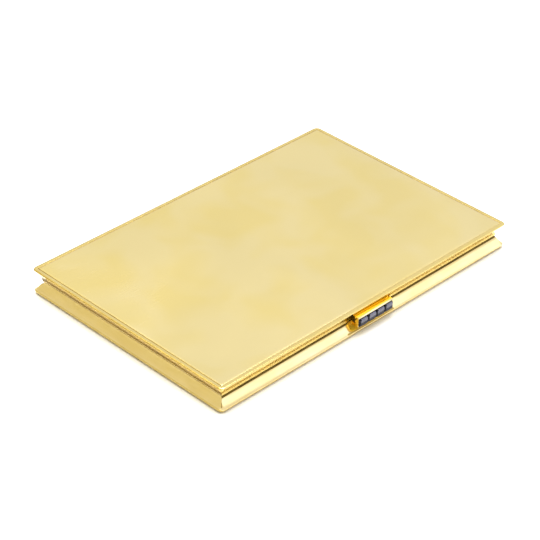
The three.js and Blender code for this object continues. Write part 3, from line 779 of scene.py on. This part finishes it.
for side in ("left", "right"):
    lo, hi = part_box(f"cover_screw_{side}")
    x, y = (lo.x + hi.x) / 2 / MM, (lo.y + hi.y) / 2 / MM
    z0, z1 = lo.z / MM, hi.z / MM
    zh = z1 - 0.52
    prof = [(0, z0), (0.42, z0), (0.5, z0 + 0.06), (0.5, zh), (0.95, zh), (1.0, zh + 0.05), (1.0, zh + 0.20), (0.95, zh + 0.31),
            (0.82, zh + 0.41), (0.6, zh + 0.475), (0.3, zh + 0.512), (0, z1)]
    bm = lathe_z(prof, 48, x, y)
    cutter = box_bm(-1.5, 1.5, -0.13, 0.13, z1 - 0.27, z1 + 0.3)
    bmesh.ops.rotate(cutter, verts=cutter.verts, cent=(0, 0, 0), matrix=Matrix.Rotation(0.5 if side == "right" else -0.3, 3, "Z"))
    bmesh.ops.translate(cutter, verts=cutter.verts, vec=(x * MM, y * MM, 0))
    t = temp_obj(cutter, "cutter")
    bm = bevel_sharp(boolean(bm, [t]), 0.02, 50.0, 1)
    drop(t)
    o = obj_from_bm(f"screw_{side}", bm, [mat_steel])
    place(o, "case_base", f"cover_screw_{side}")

# ------------------------------------------------------------------ stones
for k in range(4):
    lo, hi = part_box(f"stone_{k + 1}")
    xm, zm = (lo.x + hi.x) / 2 / MM, (lo.z + hi.z) / 2 / MM
    a, b = (hi.x - lo.x) / 2 / MM, (hi.z - lo.z) / 2 / MM
    y0, y1 = lo.y / MM, hi.y / MM
    rings = [  # y, inset, corner cut
        (y0, 0.40, 0.24), (y0 + 0.10, 0.27, 0.30), (y0 + 0.28, 0.12, 0.36), (y0 + 0.50, 0.02, 0.42), (y0 + 0.54, 0.0, 0.44),
        (y0 + 0.70, 0.0, 0.44), (y1 - 0.25, 0.26, 0.34), (y1, 0.50, 0.24)]
    bm = bmesh.new()
    loops = []
    for y, inset, r in rings:
        ax, bz = a - inset, b - inset
        pts = [(ax - r, -bz), (ax, -bz + r), (ax, bz - r), (ax - r, bz), (-ax + r, bz), (-ax, bz - r), (-ax, -bz + r), (-ax + r, -bz)]
        loops.append([bm.verts.new(Vector((xm + x, y, zm + z)) * MM) for x, z in pts])
    for p, q in zip(loops, loops[1:]):
        for j in range(8):
            bm.faces.new((p[j], p[(j + 1) % 8], q[(j + 1) % 8], q[j]))
    bm.faces.new(loops[0])
    bm.faces.new(list(reversed(loops[-1])))
    bmesh.ops.recalc_face_normals(bm, faces=bm.faces)
    bevel_sharp(bm, 0.018, 8.0, 1)
    split = zm + 0.02
    bmesh.ops.bisect_plane(bm, geom=bm.verts[:] + bm.edges[:] + bm.faces[:], dist=1e-7, plane_co=(0, 0, split * MM), plane_no=(0, 0, 1))
    o = obj_from_bm(f"sapphire_{k + 1}", bm, [mat_stone, mat_table_sheen], sharp=6.0)
    # Upper front facets take the painted sheen; the lower half stays dark.
    paint(o, lambda c, n: 1 if c.z > split and (n.y < -0.97 or n.y < -0.6 and n.z > 0.3 and abs(n.x) < 0.2) else 0)
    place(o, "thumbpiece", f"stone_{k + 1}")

drop(notch, lid_notch, slot_tool, *g_base, *g_lid)

# ------------------------------------------------------------------ camera
F_PX, AZ, EL, ROLL = 1953.2, math.radians(-45.473), math.radians(34.277), math.radians(1.087)
TX, TY, DIST = -1.156, -3.251, 619.17
back = Vector((math.sin(AZ) * math.cos(EL), -math.cos(AZ) * math.cos(EL), math.sin(EL)))
right = Vector((math.cos(AZ), math.sin(AZ), 0))
up = back.cross(right)
R2 = math.cos(ROLL) * right + math.sin(ROLL) * up
U2 = -math.sin(ROLL) * right + math.cos(ROLL) * up
pos = (Vector((0, 0, 3.5)) + TX * R2 + TY * U2 + DIST * back) * MM
cam_data = bpy.data.cameras.new("camera")
cam_data.sensor_width = 36.0
cam_data.lens = F_PX / 540.0 * 36.0
cam_data.clip_start = 0.01
cam_data.clip_end = 20.0
cam = bpy.data.objects.new("camera", cam_data)
m = Matrix((R2, U2, back)).transposed().to_4x4()
m.translation = pos
cam.matrix_world = m
scene.collection.objects.link(cam)
scene.camera = cam

# ------------------------------------------------------------------ floor and light
bm = bmesh.new()
bmesh.ops.create_grid(bm, x_segments=2, y_segments=2, size=3.0)
floor_mat, nt, fb = new_mat("floor_white")
n = Net(nt)
n.link(n.ramp(n.noise(3.0, 2.0, 0.5), [(0.3, (0.93, 0.93, 0.93)), (0.7, (0.95, 0.95, 0.95))]), fb.inputs["Base Color"])
fb.inputs["Roughness"].default_value = 0.9
fb.inputs["Specular IOR Level"].default_value = 0.1
floor = obj_from_bm("floor", bm, [floor_mat])
floor.location.z = -0.00002

world = bpy.data.worlds.new("world")
scene.world = world
world.use_nodes = True
wn = world.node_tree
wn.nodes.clear()
wo = wn.nodes.new("ShaderNodeOutputWorld")
wb = wn.nodes.new("ShaderNodeBackground")
wb.inputs[1].default_value = 0.94
wn.links.new(wb.outputs[0], wo.inputs[0])
# White overhead, a little darker and warmer low down on the left.
wt = wn.nodes.new("ShaderNodeTexCoord")
ws = wn.nodes.new("ShaderNodeSeparateXYZ")
wn.links.new(wt.outputs["Generated"], ws.inputs[0])
wnet = Net.__new__(Net)
wnet.nt = wn
low = wnet.span(ws.outputs[2], 0.0, 0.60, 1.0, 0.0)
left = wnet.span(ws.outputs[0], 0.50, -0.60, 0.0, 1.0)
fade = wnet.span(ws.outputs[2], 0.72, 0.95, 0.80, 0.0)
warm = wnet.math("ADD", wnet.math("MULTIPLY", left, fade), wnet.math("MULTIPLY", low, 0.18), clamp=True)
wn.links.new(wnet.mix(warm, (1.0, 1.0, 1.0), (0.86, 0.78, 0.46)), wb.inputs[0])


def softbox(name, direction, dist, size, power, color=(1, 1, 1)):
    d = bpy.data.lights.new(name, "AREA")
    d.shape = "RECTANGLE"
    d.size, d.size_y = size
    d.energy = power
    d.color = color
    o = bpy.data.objects.new(name, d)
    v = Vector(direction).normalized()
    o.location = v * dist
    o.rotation_euler = v.to_track_quat("Z", "Y").to_euler()
    scene.collection.objects.link(o)
    return o


softbox("key_front_right", (0.62, -0.68, 0.50), 1.1, (0.75, 0.55), 1.0, (0.68, 0.75, 1.0))
softbox("top", (0.1, 0.15, 1.0), 1.4, (1.0, 1.0), 25.0)

scene.view_settings.view_transform = "Standard"
scene.view_settings.look = "None"
scene.view_settings.exposure = 0.0
scene.view_settings.gamma = 1.0

# ------------------------------------------------------------------ view layer update
bpy.context.view_layer.update()
